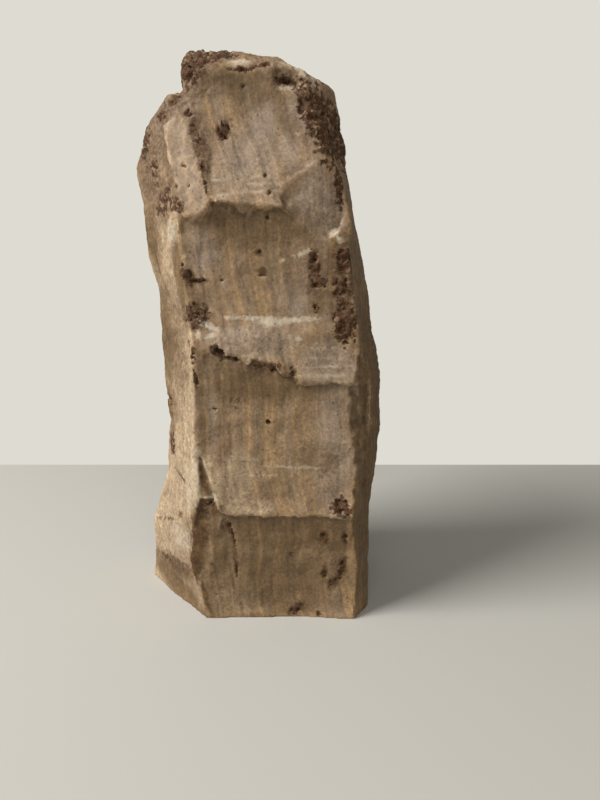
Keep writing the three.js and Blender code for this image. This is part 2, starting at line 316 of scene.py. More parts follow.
SHADES = [
    Mark("left", -8, 198, 40, 28, 0, 0.9),  # upper flank
    Mark("left", -6, 122, 26, 26),
    Mark("left", -10, 90, 14, 14),
    Mark("left", -16, 166, 8, 17),
    Mark("left", -24, 204, 12, 15),
    Mark("left", -31, 172, 4, 8, 0, 0.6),
    Mark("left", -19, 14, 12, 4.5),
    Mark("left", -37, 148, 4.5, 22),  # beside the left ridge
    Mark("front", -26, 148, 4, 24, 0, 0.4),
    Mark("front", -11, 138, 5, 8, 0, 0.5),
    Mark("front", 38, 92, 3, 10, 0, 0.6),
    Mark("front", -30, 211, 9, 5, 26),
    Mark("front", -22, 218, 6, 8, 0, 0.8),
    Mark("front", -20.2, 92, 2.6, 24, 0, 0.9),
    Mark("front", -19.6, 63, 2.0, 13, 12),
    Mark("right", 0, 100, 60, 60),
    Mark("right", 0, 60, 60, 80),
    Mark("front", -31, 192, 4, 22, 12),
    Mark("front", -20.4, 199, 3.6, 14, 13, 0.8),
    Mark("front", -5, 221, 15, 4),
    Mark("front", -24.4, 33, 4.6, 14),
    Mark("front", 1, 217.5, 16, 7),  # under each ledge
    Mark("front", -1, 166, 17, 8),
    Mark("front", 2, 148, 16, 9, 0, 0.45),
    Mark("front", 19, 166, 9, 6, -35, 0.6),
    Mark("front", 11, 158, 11, 6, 0, 0.6),
    Mark("front", 27, 143, 4, 14, 0, 0.9),
    Mark("front", -20, 132, 6, 6, 0, 0.7),
    Mark("front", -9, 111, 6, 5, 0, 0.8),
    Mark("front", 17.5, 182, 3.5, 5, -30, 0.7),
    Mark("front", 14.2, 177, 2.0, 7, -12),
    Mark("front", 17, 150, 4, 10, 0, 0.7),
    Mark("front", 35, 146, 6, 18),
    Mark("front", 13.5, 206, 3.6, 13, 30, 0.6),
    Mark("front", 3, 104.5, 24, 7.5),
    Mark("front", 8, 40, 36, 8),
    Mark("front", 6, 18, 30, 18, 0, 0.75),
    Mark("front", -13, 36, 6, 12, 0, 0.8),
    Mark("front", 4, 60, 22, 8, 0, 0.4),
    Mark("front", 28, 72, 9, 8, 0, 0.6),
    Mark("front", 35, 26, 5, 14, 0, 0.7),
    Mark("front", 36, 38, 6, 9),
    Mark("right", -38, 40, 4, 46),
    Mark("left", -20, 5, 26, 7, -20),
]

RUSTS = [
    Mark("front", -20.6, 64, 1.6, 8, 12, 0.9),
    Mark("front", -17.8, 51.8, 5.4, 4.4),
    Mark("front", -23.6, 41, 4.0, 12),
    Mark("front", -25.6, 29, 3.2, 12, 4),
    Mark("front", -21.8, 11, 1.2, 9, 14),
    Mark("front", -19.0, 199, 3.6, 13, 13, 0.7),
    Mark("top", -18, -26, 8, 6),
    Mark("front", 37.4, 130, 4.0, 7),
    Mark("front", 35.5, 148, 5.0, 11, 0, 0.8),
    Mark("front", 3.6, 156.3, 1.7, 1.5),
    Mark("front", 4.6, 149.4, 2.4, 1.4),
    Mark("front", -20, 226, 6, 4.5),
    Mark("left", -28, 222, 7, 9),
    Mark("front", -30, 212, 8.5, 3.2, 26),
    Mark("left", -29, 176.5, 6, 4),
    Mark("front", -9.3, 201.2, 2.4, 3.4, -14),
    Mark("front", -21.5, 132, 5.5, 4.6, -20),
    Mark("front", 25.6, 149, 2.6, 8),
    Mark("front", 5.5, 112.2, 7.5, 2.4, -10),
    Mark("front", 16.8, 110, 1.0, 3.2, 12),
    Mark("front", -5.4, 98.4, 3.0, 1.2),
    Mark("front", -6.5, 94.8, 1.3, 1.0),
    Mark("front", -24.5, 147.5, 2.6, 4.5, 20),
    Mark("front", -20.6, 145.4, 4.4, 1.2),
    Mark("front", 29.4, 38.4, 2.4, 3.2),
    Mark("front", 37.6, 23.6, 2.2, 6, -8),
    Mark("front", 30.2, 21.3, 1.6, 4.2),
    Mark("front", 34.0, 17.0, 1.8, 4.0, -25),
    Mark("front", 38.5, 38.6, 1.4, 2.6),
    Mark("front", 18, 4, 4.8, 2.0, 38),
    Mark("front", 15.7, 30.4, 0.9, 1.4),
    Mark("front", -8.4, 31, 0.9, 9, 6),
    Mark("left", -24, 43, 2.5, 2.0, 0, 0.8),
    Mark("left", -19.5, 17, 11, 3.2, 5),
    Mark("left", -12, 36, 11, 0.8, 20, 0.8),
    Mark("left", -27, 61, 11, 0.7, -8, 0.9),
    Mark("right", -33, 60, 3, 2),
    Mark("back", -12, 140, 6, 30, 8),
    Mark("back", 14, 60, 5, 24, -4),
]

BRUISES_AND_PAINTED_LIGHT = [
    Mark("front", 8.5, 129.6, 5.6, 1.3),  # band of blow marks across the middle
    Mark("front", 1, 131.4, 11, 0.7, -2),
    Mark("front", 17, 130.6, 8.5, 0.9, 2),
    Mark("front", -17.0, 128.4, 5.0, 1.2, -24),
    Mark("front", -15.5, 124.6, 2.2, 0.9, 20),
    Mark("front", -20.5, 124.6, 1.0, 1.6),
    Mark("front", -1.0, 113.9, 1.0, 0.6),
    Mark("front", 18.7, 123.3, 1.1, 1.1),
    Mark("front", 32.5, 164, 1.9, 1.3, 30),
    Mark("front", 35, 161, 1.2, 1.2, 0, 0.8),
    Mark("front", 20.5, 156.2, 3.6, 0.6, 16),
    Mark("front", 13.6, 153.6, 2.0, 0.5, 10),
    Mark("front", 22, 223.4, 5.5, 1.6, -32, 0.8),  # pale chunk of the crown
    Mark("front", -3, 227, 4.6, 1.2, 0, 0.6),
    Mark("front", 15, 216.8, 4.6, 0.7, 0, 0.7),
    Mark("left", -35, 165, 3.4, 4.5, 0, 0.7),
    Mark("left", -26, 33, 6, 6, 0, 0.4),
    Mark("left", -35, 60, 4, 10, 0, 0.4),
    # Painted light along the front of the left ridge.
    Mark("front", -24.0, 66, 1.3, 13, 0, 0.6),
]

SCRATCHES = [
    Mark("front", -10.6, 183, 3.6, 0.5),
    Mark("front", 4.8, 181.5, 7.2, 0.5),
    Mark("front", 3.0, 178.6, 8.5, 0.45, 1),
    Mark("front", -9.6, 177.2, 3.2, 0.45, 2),
    Mark("front", -4.3, 73.4, 6.0, 0.45, -9),
    Mark("front", 16, 69.6, 13.5, 0.45, -2),
    Mark("front", 4, 66.0, 9, 0.4, 1),
    Mark("front", 30, 119.5, 9, 0.4, -2),
    Mark("front", 31, 115.6, 10, 0.4, 1),
    Mark("front", 32, 112.2, 9, 0.5, 2),
    Mark("front", 31, 108.8, 10, 0.5, -1),
    Mark("front", 36, 81, 5, 0.5, -2),
    Mark("front", -19.4, 69, 0.5, 9.5, 20),
    Mark("front", -15.6, 55.5, 0.5, 5, 22),
    Mark("front", -18.8, 56.6, 3.4, 0.5),
]

# The marks of each kind, by the name of the amount that the material reads.
PAINTED = {
    "mottle": MOTTLES,
    "pits": PITS,
    "pale": PALE_STONE_AND_PAINTED_LIGHT,
    "blush": BLUSHES,
    "shade": SHADES,
    "rust": RUSTS,
    "bruise": BRUISES_AND_PAINTED_LIGHT,
    "scratch": SCRATCHES,
}

# Faces split off last, with crisp outlines as points (x, z) on the front: no skin has grown on them.
LEFT_FACET = [
    (-27.8, 207.8), (-31, 206.6), (-33.8, 204.2), (-31.8, 195), (-29.4, 187), (-26.8, 178.5), (-24, 173),
    (-21.2, 169.4), (-17.4, 169.4), (-14.9, 172), (-15.4, 176.5), (-17.6, 184), (-20.6, 194), (-24.6, 204),
]
RIGHT_FACET = [(18.5, 115), (18.9, 105.5), (20.9, 104.9), (31, 105.2), (41, 104.8), (41, 112), (30, 117)]
LIP = [
    (-13.8, 184.2), (-13.8, 174.8), (-4.6, 174.2), (-2.6, 171.6), (0.6, 171.0), (3.2, 172.6), (12.8, 173.0),
    (12.9, 179), (7, 183.6), (0, 183.2), (-6, 184.4),
]
FRESH = [LEFT_FACET, RIGHT_FACET, LIP]

SQUARE_ON = (0.3, 0.6)  # how squarely a face looks its side's way: none of a mark below, all of it above
RIM = (0.42, 0.58)  # the amounts between which a ragged rim goes from 0 to 1
LEAST_PAINT = 0.02  # the amount past which a point counts as painted


def smooth_step(value, low, high):
    share = np.clip((value - low) / (high - low), 0.0, 1.0)
    return share * share * (3.0 - 2.0 * share)


def cover(marks, places, normals):
    """How much the marks cover each point: 1 in their middles, a half on their outlines, 0 well outside."""
    total = np.zeros(len(places))
    for mark in marks:
        facing, rightward, upward = (np.array(way, float) for way in SIDES[mark.side])
        turn = math.radians(mark.tilt)
        right = places @ rightward - mark.across * rightward.sum() * MM
        up = places @ upward - mark.up * MM
        along = (right * math.cos(turn) + up * math.sin(turn)) / (mark.wide * MM)
        over = (up * math.cos(turn) - right * math.sin(turn)) / (mark.tall * MM)
        near = mark.full * np.clip(1.5 - np.hypot(along, over), 0.0, 1.0)
        total = np.maximum(total, near * smooth_step(normals @ facing, *SQUARE_ON))
    return total


def blotches(places, size, octaves, seed):
    """Noise at each point, in blotches of about size millimetres; its spread is 1 and its middle 0."""
    spots = places / (size * MM) + np.array((seed, 1.7 * seed, 2.3 * seed))
    values = np.array([fractal(spot, 1.0, 2.0, octaves) for spot in spots.tolist()])
    return (values - values.mean()) / values.std()


def ragged(amounts, places, size, raggedness, seed):
    """Painted amounts with crisp rims that wander and crumble."""
    wander = raggedness * blotches(places, size, octaves=4, seed=seed)
    return smooth_step(amounts + wander * (amounts > LEAST_PAINT), *RIM)


# ---------------------------------------------------------------- the stone

SHARP_ANGLE = 26.0  # degrees between two facets, past which their edge stays crisp
ROUNDING = 2  # subdivisions that round the facets off
MERGE = 0.01  # points nearer than this are one, in millimetres, as are all lengths below
GRID = 0.62  # between the points of the dense mesh
MOST_TRIANGLES = 190_000
FOOT_BLEND = 3.0  # the height above the flat foot over which the relief sets in
PUSH_STEPS = 250  # steps that a distance is rounded to when the points are pushed
BAND_WAY = Vector((1.0, 1.17, 0.07)).normalized()  # the way across the bands in the stone

WANDER = 0.32  # how far the outlines of the split faces wander
FRONT_FACING = -0.15  # the y of a normal, below which its face looks to the front
FRONT_DEPTH = -20.0  # the y in front of which the stone is split

# The broad patches of crust: how steep their rims are, how far these draw in, and how deep and wide the
# lobes in them are.
LOBE_STEEPNESS = 2.4
LOBE_DRAW = 0.7
LOBE_DEPTH = 0.5
LOBE_SIZE = 13.0
LOBE_HOLD = 4.0  # how firmly the lobes are held inside their marks

# The relief.
UNDULATION = 0.24  # the height of the slow swells all over, as are the next two of the grain and the bands
GRAIN = 0.055
RIB = 0.07
BAND_BEND = 1.4  # how far the bands' ribs sway
ARRIS = (0.10, 0.35)  # how far an edge stands proud where its wear sets in, and where it is full
ARRIS_WEAR = 0.35  # how much is worn off it
WEAR_SHARE = 0.3  # the middle share of that wear along an edge, and the most
MOST_WEAR_SHARE = 2.0
CRUMB = 0.62  # the height of the crumbs in the crust, whose noise is cut off at CRUMB_ENDS
CRUMB_ENDS = (-2.5, 0.6)
CRUST_SUNK = 0.15  # how far the crust lies below the stone around it
MOTTLE_CRUMB = 0.16  # the same for the mottled skin
MOTTLE_CRUMB_ENDS = (-2.0, 0.8)
PIT_DEPTH = 1.0
# The ridge amount lightens the tone on worn ridges and darkens hollows with painted shade.
RIDGE_SPAN = 0.7  # from the deepest hollow to the proudest ridge that still change the tone
BROAD_SHARE = 0.15  # how much the broad ridges and hollows count beside the narrow ones

# A split is a face that a blow left, on the front: its outline as points (x, z), and the bed it is pressed
# to. The bed has the given depth (y) at its place, and leans across, rises and bows from there. Nothing moves
# by more than most. The split fades in over the height fade, above the foot of its outline. A cut moves
# nothing out, and where it overlaps an earlier split, the deeper of the two holds.
SPLIT_FIELDS = "outline place depth most lean rise bow_across bow_up fade cut"
Split = namedtuple("Split", SPLIT_FIELDS, defaults=[0.0, 0.0, 0.0, 0.0, 10.0, False])

SPLITS = [
    Split(  # hollow under the top lip
        [(-26.5, 171), (-24.9, 170.3), (-22.4, 168.4), (-16, 168.6), (-14.2, 171.5), (-13.8, 174.8),
         (-4.6, 174.2), (-2.6, 171.6), (0.6, 171.0), (3.2, 172.6), (12.8, 173.0), (13.3, 171.2), (17, 169.3),
         (14, 156), (-27, 156)],
        place=(0, 150), depth=-39.2, most=4.0, lean=-0.02, bow_up=-0.0034,
    ),
    Split(  # bite at its right
        [(13.3, 172.9), (12.9, 181.1), (15.8, 183.6), (20.2, 186.7), (27.1, 190.3), (31, 192.5), (36, 187),
         (36, 166), (29.8, 161.7), (25.3, 163), (20.2, 166.7), (15.7, 170.2)],
        place=(15, 175), depth=-41.7, most=2.0, bow_across=0.0118, fade=0.5,
    ),
    Split(  # under the ragged ledge
        [(-20.5, 113.3), (-15.8, 114), (-15.2, 120.4), (-13.4, 121.0), (-11.7, 118.7), (-10.4, 116.4),
         (-4.9, 115.6), (-2.3, 113.8), (-1, 111.2), (0.4, 113.3), (1.4, 115), (3.1, 113.3), (5.7, 112.3),
         (8.3, 112.8), (10.4, 113.4), (11.3, 111.6), (12.6, 109), (14.9, 108), (16.4, 110.3), (17.5, 108.4),
         (18.9, 105.5), (19, 86), (-21, 86)],
        place=(0, 96), depth=-39.7, most=4.5, lean=-0.012, bow_up=-0.0030,
    ),
    Split(  # under the right facet
        [(18.9, 105.5), (20.9, 104.9), (31, 105.2), (43.5, 104.8), (45, 86), (19, 86)],
        place=(20, 94), depth=-40.0, most=3.0, lean=-0.03, bow_up=-0.010,
    ),
    Split(  # foot panel
        [(-13.3, 53), (-13, 49), (-9.9, 48), (5.5, 47.6), (19.5, 48.6), (32, 48.5), (43, 47.2),
         (43, 32), (-15, 32)],
        place=(0, 36), depth=-38.7, most=2.5, lean=-0.035, bow_up=-0.0058,
    ),
    Split(  # strip at the left of the foot panel
        [(-22.4, 56.4), (-15.9, 55.8), (-14.2, 51.5), (-13.3, 48.4), (-16, 40), (-18.5, 25), (-20.5, 10),
         (-23.5, 10), (-26.5, 17), (-28.4, 25), (-28.0, 34), (-26.6, 42), (-23.8, 50)],
        place=(-20, 40), depth=-38.3, most=6.0, lean=-0.09, fade=14.0,
    ),
    Split(LEFT_FACET, place=(-28, 192), depth=-36.4, most=1.6, lean=-0.44, rise=0.135, fade=0.5),
    Split(  # narrow chip beside the left ridge
        [(-22.5, 79.5), (-21.5, 74), (-19.2, 66), (-16.0, 56), (-20, 55.5), (-22.2, 56), (-22.2, 64)],
        place=(-20, 62), depth=-39.1, most=1.3, rise=0.055, fade=2.0, cut=True,
    ),
    Split(  # right ridge, worn off
        [(40.6, 119), (48.5, 119), (48.5, 68), (40.6, 68)],
        place=(41.0, 100), depth=-41.3, most=4.0, lean=1.0, rise=-0.06, fade=4.0, cut=True,
    ),
    Split(  # its middle, where it is worn further in
        [(39.0, 104.6), (48.5, 104.6), (48.5, 82), (40.2, 82)],
        place=(39.4, 95), depth=-40.6, most=4.0, lean=1.0, fade=6.0, cut=True,
    ),
    Split(  # its foot
        [(41.2, 72), (48.5, 72), (48.5, 24), (41.8, 24)],
        place=(41.6, 56), depth=-40.5, most=4.0, lean=1.0, rise=-0.015, fade=8.0, cut=True,
    ),
]

# A swell is a place where the stone bulges out, or in where its rise is negative: its middle and its reach,
# and the rise in its middle.
Swell = namedtuple("Swell", "middle reach rise")

SWELLS = [
    Swell((-24, -27, 232), 8, -2.4),  # left corner of the crown, rounded off
    Swell((-29, -30, 217), 8, -3.0),  # left shoulder
    Swell((16, -28, 228), 13, -1.3),  # right of the crown
    Swell((24, -24, 226), 12, -1.0),
    Swell((-44, -20, 200), 18, 1.2),  # left flank
    Swell((-45, -12, 163), 26, 1.6),
    Swell((43, -28, 157), 18, -1.5),  # right flank
    Swell((52, -26, 90), 26, 1.3),
    Swell((-40, -8, 87), 10, 1.0),
]


def select_only(piece):
    bpy.ops.object.select_all(action="DESELECT")
    piece.select_set(True)
    bpy.context.view_layer.objects.active = piece


def apply(piece, name):
    select_only(piece)
    bpy.ops.object.modifier_apply(modifier=name)


def hewn_copy(node_name):
    """A copy of the frame's stone with its facets rounded off and its ridges kept crisp."""
    stone = bpy.data.objects.new("hewn_stone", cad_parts[node_name].data.copy())
    bpy.context.scene.collection.objects.link(stone)
    stone.data.materials.clear()
    select_only(stone)
    bpy.ops.object.mode_set(mode="EDIT")
    bpy.ops.mesh.select_mode(type="VERT")
    bpy.ops.mesh.select_all(action="SELECT")
    bpy.ops.mesh.remove_doubles(threshold=MERGE * MM)
    bpy.ops.mesh.select_all(action="DESELECT")
    bpy.ops.mesh.select_mode(type="EDGE")
    bpy.ops.mesh.edges_select_sharp(sharpness=math.radians(SHARP_ANGLE))
    bpy.ops.transform.edge_crease(value=1.0)
    bpy.ops.object.mode_set(mode="OBJECT")
    rounded = stone.modifiers.new("rounded", "SUBSURF")
    rounded.levels = ROUNDING
    rounded.render_levels = ROUNDING
    apply(stone, "rounded")
    even_out(stone, GRID)
    return stone


def points_of(stone):
    """The points of the mesh and their normals, as arrays."""
    count = len(stone.data.vertices)
    places = np.empty(count * 3, np.float32)
    normals = np.empty(count * 3, np.float32)
    stone.data.vertices.foreach_get("co", places)
    stone.data.vertex_normals.foreach_get("vector", normals)
    return places.reshape(-1, 3).astype(float), normals.reshape(-1, 3).astype(float)


def keep_amounts(stone, name, amounts):
    attribute = stone.data.attributes.new(name, "FLOAT", "POINT")
    attribute.data.foreach_set("value", amounts.astype(np.float32))


def stand_proud(stone, places, normals, passes):
    """How far each point stands out of the surface around it; more passes look further round."""
    ends = np.empty(len(stone.data.edges) * 2, np.int32)
    stone.data.edges.foreach_get("vertices", ends)
    one, two = ends.reshape(-1, 2).T
    count = len(places)
    neighbours = np.bincount(one, minlength=count) + np.bincount(two, minlength=count)
    smoothed = places.copy()
    for _ in range(passes):
        for axis in range(3):
            line = smoothed[:, axis]
            total = np.bincount(one, line[two], count) + np.bincount(two, line[one], count)
            smoothed[:, axis] = 0.5 * line + 0.5 * total / neighbours
    return ((places - smoothed) * normals).sum(axis=1)


def push(stone, distances, way):
    """Moves each point by its own distance along way, with two Displace modifiers: one out and one in."""
    for name, amounts in (("raised", distances), ("sunk", -distances)):
        most = amounts.max()
        if most <= 0.0:
            continue
        group = stone.vertex_groups.new(name=name)
        share = np.rint(amounts / most * PUSH_STEPS).astype(int)
        order = np.argsort(share, kind="stable")
        for chosen in np.split(order, np.flatnonzero(np.diff(share[order])) + 1):
            if share[chosen[0]] > 0:
                group.add(chosen.tolist(), share[chosen[0]] / PUSH_STEPS, "REPLACE")
        relief = stone.modifiers.new(name, "DISPLACE")
        relief.direction = way
        relief.mid_level = 0.0
        relief.strength = most if name == "raised" else -most
        relief.vertex_group = name
        apply(stone, name)
    stone.vertex_groups.clear()


def even_out(stone, size):
    even = stone.modifiers.new("even", "REMESH")
    even.mode = "VOXEL"
    even.voxel_size = size * MM
    apply(stone, "even")


def inside(outline, across, up):
    """Which points lie inside an outline."""
    within = np.zeros(len(across), bool)
    for (x0, z0), (x1, z1) in zip(outline, outline[1:] + outline[:1]):
        if z0 != z1:
            crossing = (z0 > up) != (z1 > up)
            within ^= crossing & (across < x0 + (x1 - x0) * (up - z0) / (z1 - z0))
    return within


def wandered(places):
    """How far across and up each point lies, in millimetres, moved a little so that outlines wander."""
    across, _, up = (places / MM).T
    across = across + WANDER * blotches(places, size=4.0, octaves=3, seed=1.0)
    up = up + WANDER * blotches(places, size=3.0, octaves=3, seed=2.0)
    return across, up


def fresh_faces(places, normals):
    """1 on the faces split off last, and 0 elsewhere."""
    across, up = wandered(places)
    fresh = np.zeros(len(places), bool)
    for outline in FRESH:
        fresh |= inside(outline, across, up)
    return (fresh & (normals[:, 1] < FRONT_FACING)).astype(float)


def crust_on(places, normals):
    """1 where crust has grown and 0 elsewhere; the rims of its broad patches wander the furthest."""
    broad = cover(WIDE_CRUST, places, normals)
    lobes = LOBE_DEPTH * blotches(places, LOBE_SIZE, octaves=4, seed=13.0)
    lobed = np.clip(LOBE_STEEPNESS * broad - LOBE_DRAW + lobes, 0.0, 1.0)
    within = np.minimum(lobed, LOBE_HOLD * broad)
    amounts = np.maximum(cover(CRUST, places, normals), within)
    grown = ragged(amounts, places, size=1.5, raggedness=0.30, seed=4.0)
    return (1.0 - fresh_faces(places, normals)) * grown


def swell_out(stone):
    """Moves the surface out or in a little at the swells."""
    places, _ = points_of(stone)
    distances = np.zeros(len(places))
    for swell in SWELLS:
        away = np.linalg.norm(places / MM - np.array(swell.middle, float), axis=1)
        distances += swell.rise * (1.0 - smooth_step(away, 0.0, swell.reach))
    push(stone, distances * MM, "NORMAL")


def split_faces(stone):
    """Presses the front to the bed of each split, up to its outline, which leaves a crisp step there."""
    places, normals = points_of(stone)
    _, depth, up = (places / MM).T
    across, ragged_up = wandered(places)
    front = (normals[:, 1] < FRONT_FACING) & (depth < FRONT_DEPTH)
    distances = np.zeros(len(places))
    for split in SPLITS:
        right = across - split.place[0]
        over = up - split.place[1]
        bed = split.depth + split.lean * right + split.bow_across * right**2 + split.bow_up * over**2
        bed += split.rise * over
        foot = min(z for _, z in split.outline)
        share = smooth_step(up, foot, foot + split.fade)
        least = 0.0 if split.cut else -split.most
        moved = share * np.clip(bed - depth, least, split.most)
        if split.cut:
            moved = np.maximum(moved, distances)
        chosen = front & inside(split.outline, across, ragged_up)
        distances[chosen] = moved[chosen]
    push(stone, distances * MM, "Y")


def roughen(stone):
    """Raises the ribs of the bands and the crumbs of the crust, and sinks worn edges and pits."""
    places, normals = points_of(stone)
    above_foot = smooth_step(places[:, 2], 0.0, FOOT_BLEND * MM)
    arris = smooth_step(stand_proud(stone, places, normals, passes=12) / MM, *ARRIS)
    crust = crust_on(places, normals)
    aged = 1.0 - fresh_faces(places, normals)
    mottle = aged * smooth_step(cover(MOTTLES, places, normals), low=0.1, high=0.7)
    pits = ragged(cover(PITS, places, normals), places, size=1.2, raggedness=0.2, seed=5.0)
    bend = BAND_BEND * MM * blotches(places, size=24.0, octaves=2, seed=6.0)
    across = np.outer(places @ np.array(BAND_WAY) + bend, (1.0, 0.0, 0.0))
    ribs = blotches(across, size=2.6, octaves=3, seed=7.0)
    crumbs = blotches(places, size=2.6, octaves=4, seed=8.0)
    wear = np.clip(WEAR_SHARE + blotches(places, size=3.2, octaves=3, seed=11.0), 0.0, MOST_WEAR_SHARE)

    heights = UNDULATION * blotches(places, size=12.0, octaves=2, seed=9.0)
    heights = heights + GRAIN * blotches(places, size=1.5, octaves=3, seed=10.0) + RIB * ribs
    heights -= arris * wear * ARRIS_WEAR
    crust_relief = crust * (CRUMB * np.clip(crumbs, *CRUMB_ENDS) - CRUST_SUNK)
    mottle_relief = MOTTLE_CRUMB * mottle * np.clip(crumbs, *MOTTLE_CRUMB_ENDS)
    heights += crust_relief + mottle_relief
    heights -= PIT_DEPTH * pits
    push(stone, heights * above_foot * MM, "NORMAL")


def thin_out(stone):
    """Takes the mesh down to the most triangles it may have."""
    triangles = sum(len(face.vertices) - 2 for face in stone.data.polygons)
    if triangles > MOST_TRIANGLES:
        fewer = stone.modifiers.new("fewer", "DECIMATE")
        fewer.ratio = MOST_TRIANGLES / triangles
        fewer.use_collapse_triangulate = True
        apply(stone, "fewer")


def paint(stone):
    """Keeps on the points of the finished mesh the amounts that the material reads."""
    places, normals = points_of(stone)
    for name, marks in PAINTED.items():
        keep_amounts(stone, name, cover(marks, places, normals))
    keep_amounts(stone, "crust_patches", crust_on(places, normals))
    keep_amounts(stone, "fresh", fresh_faces(places, normals))
    # How far each point stands proud: the material lightens worn ridges by it and paints shade into hollows.
    narrow = stand_proud(stone, places, normals, passes=5)
    broad = stand_proud(stone, places, normals, passes=40)
    heights = narrow + BROAD_SHARE * broad
    keep_amounts(stone, "ridge", np.clip(0.5 + heights / (RIDGE_SPAN * MM), 0.0, 1.0))


def make_stone():
    stone = hewn_copy("stone_block")
    swell_out(stone)
    split_faces(stone)
    even_out(stone, GRID)
    roughen(stone)
    thin_out(stone)
    select_only(stone)
    bpy.ops.object.shade_smooth()
    paint(stone)
    stone.data.materials.append(make_soapstone())
    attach(stone, "root")
    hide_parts("stone_block")


# ---------------------------------------------------------------- soapstone


def add(tree, kind, links=None, **settings):
    """A shader node. links gives the sockets or values of its inputs by name or number."""
    made = tree.nodes.new("ShaderNode" + kind)
    for key, value in settings.items():
        setattr(made, key, value)
    for key, value in (links or {}).items():
        socket = made.inputs[key]
        if isinstance(value, bpy.types.NodeSocket):
            tree.links.new(value, socket)
        else:
            socket.default_value = value
    return made


def maths(tree, operation, one, two=0.0, three=0.0, clamp=False):
    links = {0: one, 1: two, 2: three}
    return add(tree, "Math", links, operation=operation, use_clamp=clamp).outputs[0]


def times(tree, one, two):
    return maths(tree, "MULTIPLY", one, two)


def rescale(tree, value, gain, base, clamp=False):
    """value times gain, plus base."""
    return maths(tree, "MULTIPLY_ADD", value, gain, base, clamp)


def blend(tree, amount, one, two):
    """One colour turned into the other by an amount."""
    mix = add(tree, "Mix", {0: amount}, data_type="RGBA")
    for socket, value in zip(mix.inputs[6:8], (one, two)):
        if isinstance(value, bpy.types.NodeSocket):
            tree.links.new(value, socket)
        else:
            socket.default_value = (*value, 1.0)
    return mix.outputs[2]


def coat(tree, colour, over, amount, strength):
    """A colour with another laid over it: strength is how well that one covers where its amount is 1."""
    return blend(tree, times(tree, amount, strength), colour, over)


def noise(tree, place, size, detail, roughness=0.55, seed=0.0):
    """Noise from 0 to 1, in blotches of about the given size in millimetres."""
    links = {"Vector": place, "W": seed, "Scale": 1.0 / size, "Detail": detail, "Roughness": roughness}
    return add(tree, "TexNoise", links, noise_dimensions="4D").outputs[0]


def bands(tree, across, size, detail):
    """Noise that changes across the bands only, which are about size millimetres wide."""
    links = {"W": across, "Scale": 1.0 / size, "Detail": detail}
    return add(tree, "TexNoise", links, noise_dimensions="1D").outputs[0]


def step(tree, value, low, high):
    """0 at low and before it, 1 at high and past it, and smooth between them; high may be the lesser."""
    links = {"Value": value, "From Min": low, "From Max": high}
    return add(tree, "MapRange", links, interpolation_type="SMOOTHSTEP").outputs[0]


def painted(tree, name):
    return add(tree, "Attribute", attribute_name=name).outputs["Fac"]


def patchy(tree, name, place, size, breaking, soft, seed):
    """A painted amount whose rims are broken up by noise."""
    broken = noise(tree, place, size, detail=5.0, roughness=0.65, seed=seed)
    raised = rescale(tree, broken, gain=breaking, base=painted(tree, name))
    middle = 0.5 + 0.5 * breaking
    broken = step(tree, raised, low=middle - soft, high=middle + soft)
    return times(tree, broken, step(tree, painted(tree, name), low=0.0, high=0.3))


def dots(tree, place, size, radius, share, seed):
    """Round dots: size is the distance between them, and share how many of them are kept."""
    moved = add(tree, "VectorMath", {0: place, 1: (seed, seed, seed)}, operation="ADD").outputs[0]
    cells = add(tree, "TexVoronoi", {"Vector": moved, "Scale": 1.0 / size})
    chance = add(tree, "SeparateColor", {0: cells.outputs["Color"]}).outputs[0]
    kept = maths(tree, "LESS_THAN", chance, share)
    near = step(tree, cells.outputs["Distance"], low=radius / size * 1.4, high=radius / size * 0.7)
    return times(tree, near, kept)


OCHRE = (0.285, 0.180, 0.088)
GREY_TAN = (0.232, 0.157, 0.093)
# The pale stone's colour, also the colour of the painted light.
PALE = (0.385, 0.278, 0.170)
BLUSH = (0.270, 0.192, 0.128)
FRESH_TAN = (0.252, 0.174, 0.108)
# The colour of the painted shade, which is also the stone's darker tone.
SHADE = (0.142, 0.086, 0.038)
STAINED_TAN = (0.250, 0.165, 0.100)
CRUST_DARK = (0.030, 0.013, 0.005)
CRUST_BROWN = (0.092, 0.041, 0.016)
CRUST_LIGHT = (0.180, 0.098, 0.044)
RUST_DARK = (0.064, 0.029, 0.008)
RUST = (0.158, 0.082, 0.024)
BRUISE = (0.62, 0.53, 0.40)
SPECK = (0.060, 0.032, 0.015)

SPECULAR = 0.35  # how strong the stone's reflections are
BUMP_STRENGTH = 0.7
BUMP_DEPTH = 0.5  # in millimetres


